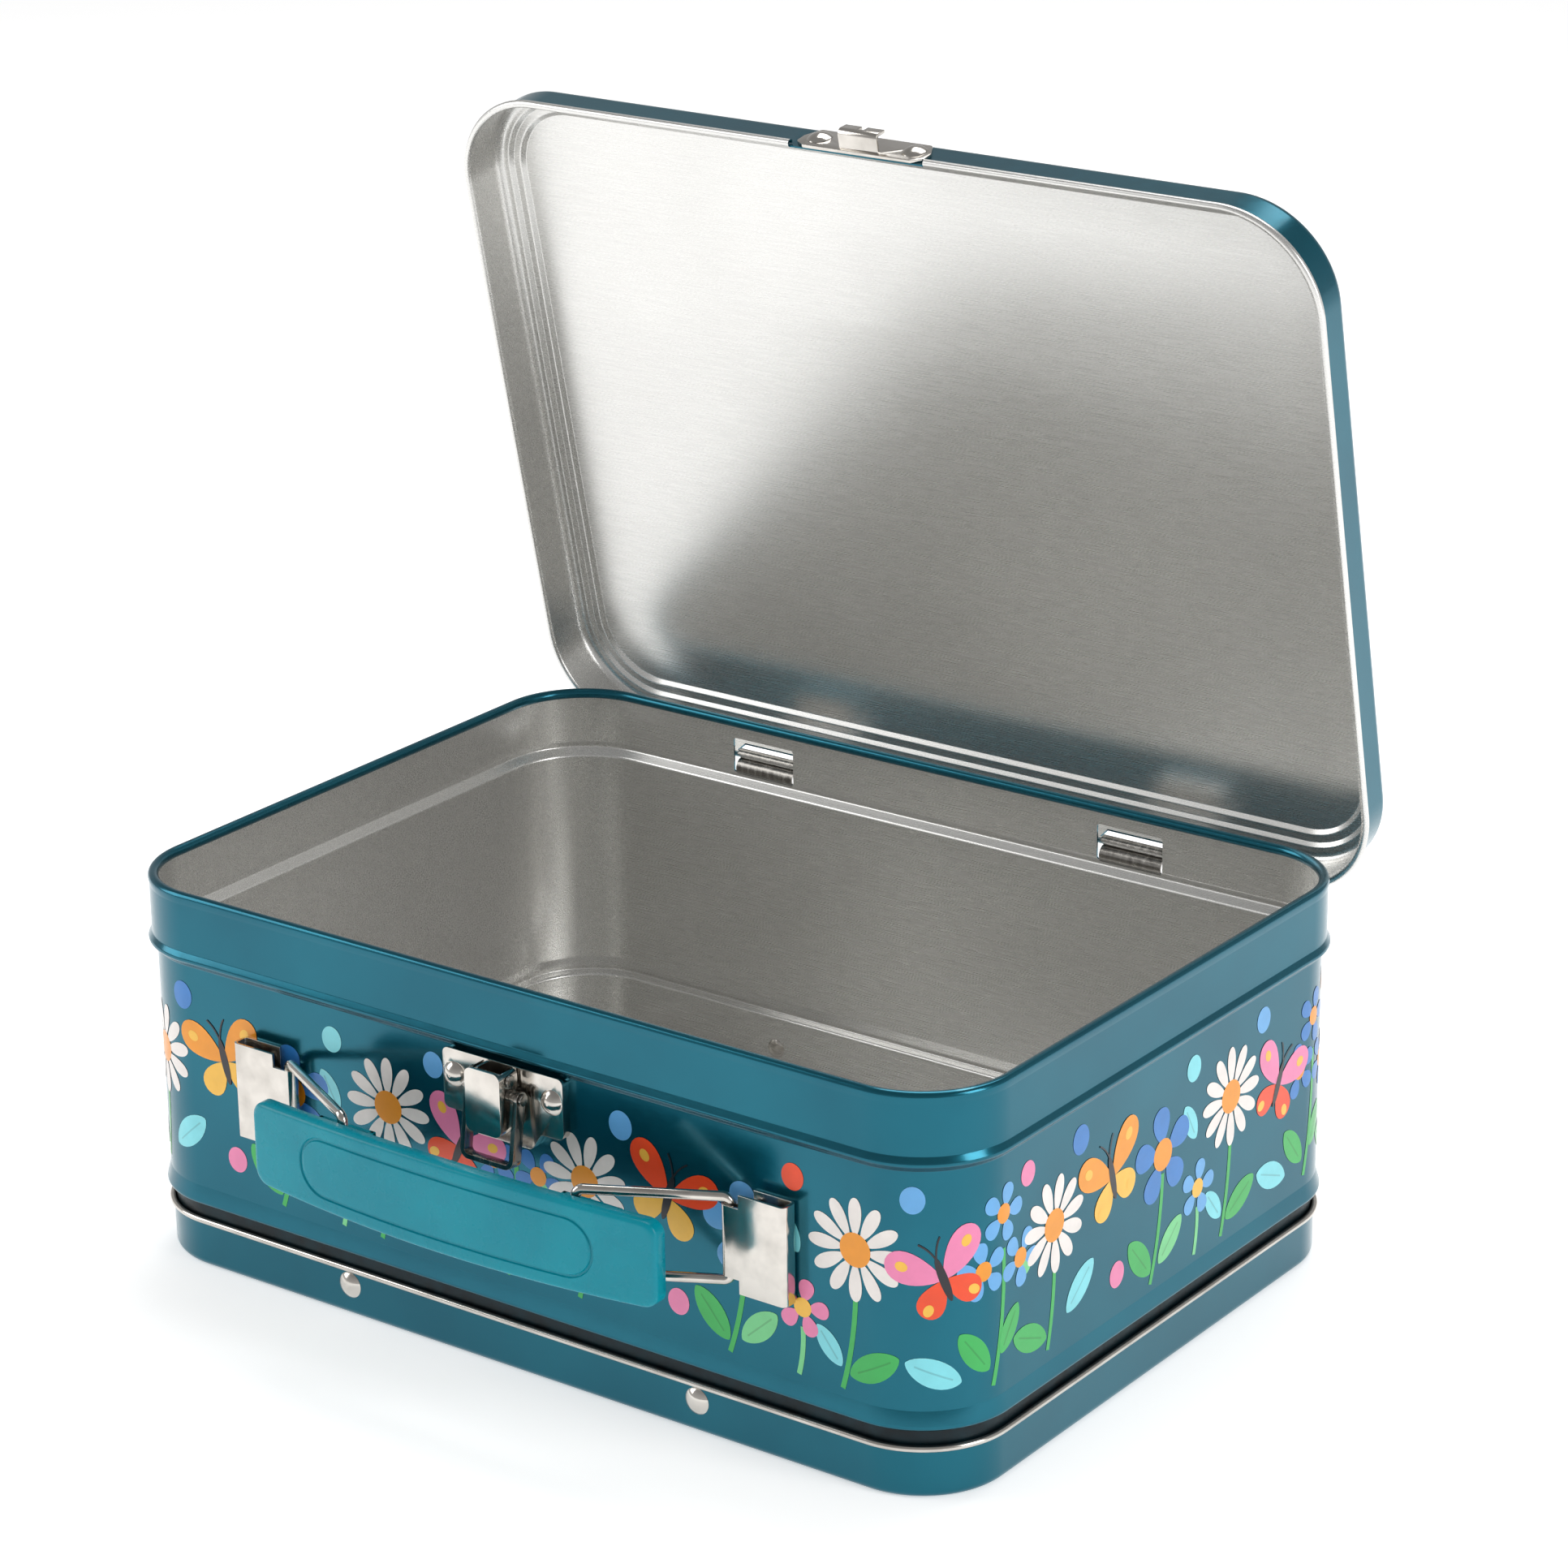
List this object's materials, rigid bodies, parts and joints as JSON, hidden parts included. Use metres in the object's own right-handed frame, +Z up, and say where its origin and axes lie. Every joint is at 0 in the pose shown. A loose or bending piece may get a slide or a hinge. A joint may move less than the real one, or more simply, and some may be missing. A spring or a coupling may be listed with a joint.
{
  "type": "hinged tin lunch box",
  "caption": "Small rounded tin lunch box standing open: printed sheet band on a riveted base tray, hinged shallow lid, toggle latch and a fold-out grip handle on wire bails.",
  "frame": {"origin": "middle of the base tray's underside", "axes": "+Z up, -Y out of the long front wall that carries the latch and handle, +X to the right along that wall seen from the front"},
  "size_m": [0.2092, 0.1799, 0.2249],
  "materials": {
    "printed_tin": "satin teal lacquer with printed flowers outside, bare tinplate inside",
    "bright_plating": "bright nickel plate",
    "plain_steel": "plain bright steel",
    "grip_plastic": "glossy, slightly translucent turquoise"
  },
  "bodies": {
    "box": {"body_band": "printed_tin", "base_tray": "printed_tin", "tray_rivets_front": "bright_plating", "tray_rivets_rear": "bright_plating", "latch_base_plate": "bright_plating", "latch_rivets": "bright_plating", "latch_lever_pin": "plain_steel", "handle_bracket_left": "bright_plating", "handle_bracket_right": "bright_plating", "bracket_rivets_left": "plain_steel", "bracket_rivets_right": "plain_steel"},
    "lid": {"lid_shell": "printed_tin", "lid_catch_plate": "bright_plating", "lid_catch_rivets": "bright_plating"},
    "lever": {"latch_lever": "bright_plating", "latch_loop_pin": "plain_steel"},
    "loop": {"latch_loop": "plain_steel"},
    "bail_left": {"handle_wire_left": "bright_plating"},
    "bail_right": {"handle_wire_right": "bright_plating"},
    "grip": {"handle_grip": "grip_plastic"}
  },
  "joints": [
    {"name": "lid_hinge", "type": "hinge", "parent": "box", "child": "lid", "pos_m": [0, 0.07505, 0.0734], "axis": [-1, 0, 0], "range_deg": [-78, 100]},
    {"name": "lever_pivot", "type": "hinge", "parent": "box", "child": "lever", "pos_m": [0, -0.0779, 0.0653], "axis": [-1, 0, 0], "range_deg": [0, 110]},
    {"name": "loop_pivot", "type": "hinge", "parent": "lever", "child": "loop", "pos_m": [0, -0.077, 0.0616], "axis": [-1, 0, 0], "range_deg": [-11, 61]},
    {"name": "grip_slide", "type": "slide", "parent": "box", "child": "grip", "axis": [0, -1, 0], "range_m": [-0.009, 0.009]},
    {"name": "bail_right_hinge", "type": "hinge", "parent": "box", "child": "bail_right", "pos_m": [0.0544, -0.07515, 0.0451], "axis": [0, 0, 1], "range_deg": [-20, 20]},
    {"name": "bail_left_hinge", "type": "hinge", "parent": "box", "child": "bail_left", "pos_m": [-0.0544, -0.07515, 0.0451], "axis": [0, 0, 1], "range_deg": [-20, 20]}
  ],
  "couplings": [
    {"joint": "bail_right_hinge", "follows": "grip_slide", "rad_per_m": 38.452},
    {"joint": "bail_left_hinge", "follows": "grip_slide", "rad_per_m": -38.452}
  ]
}
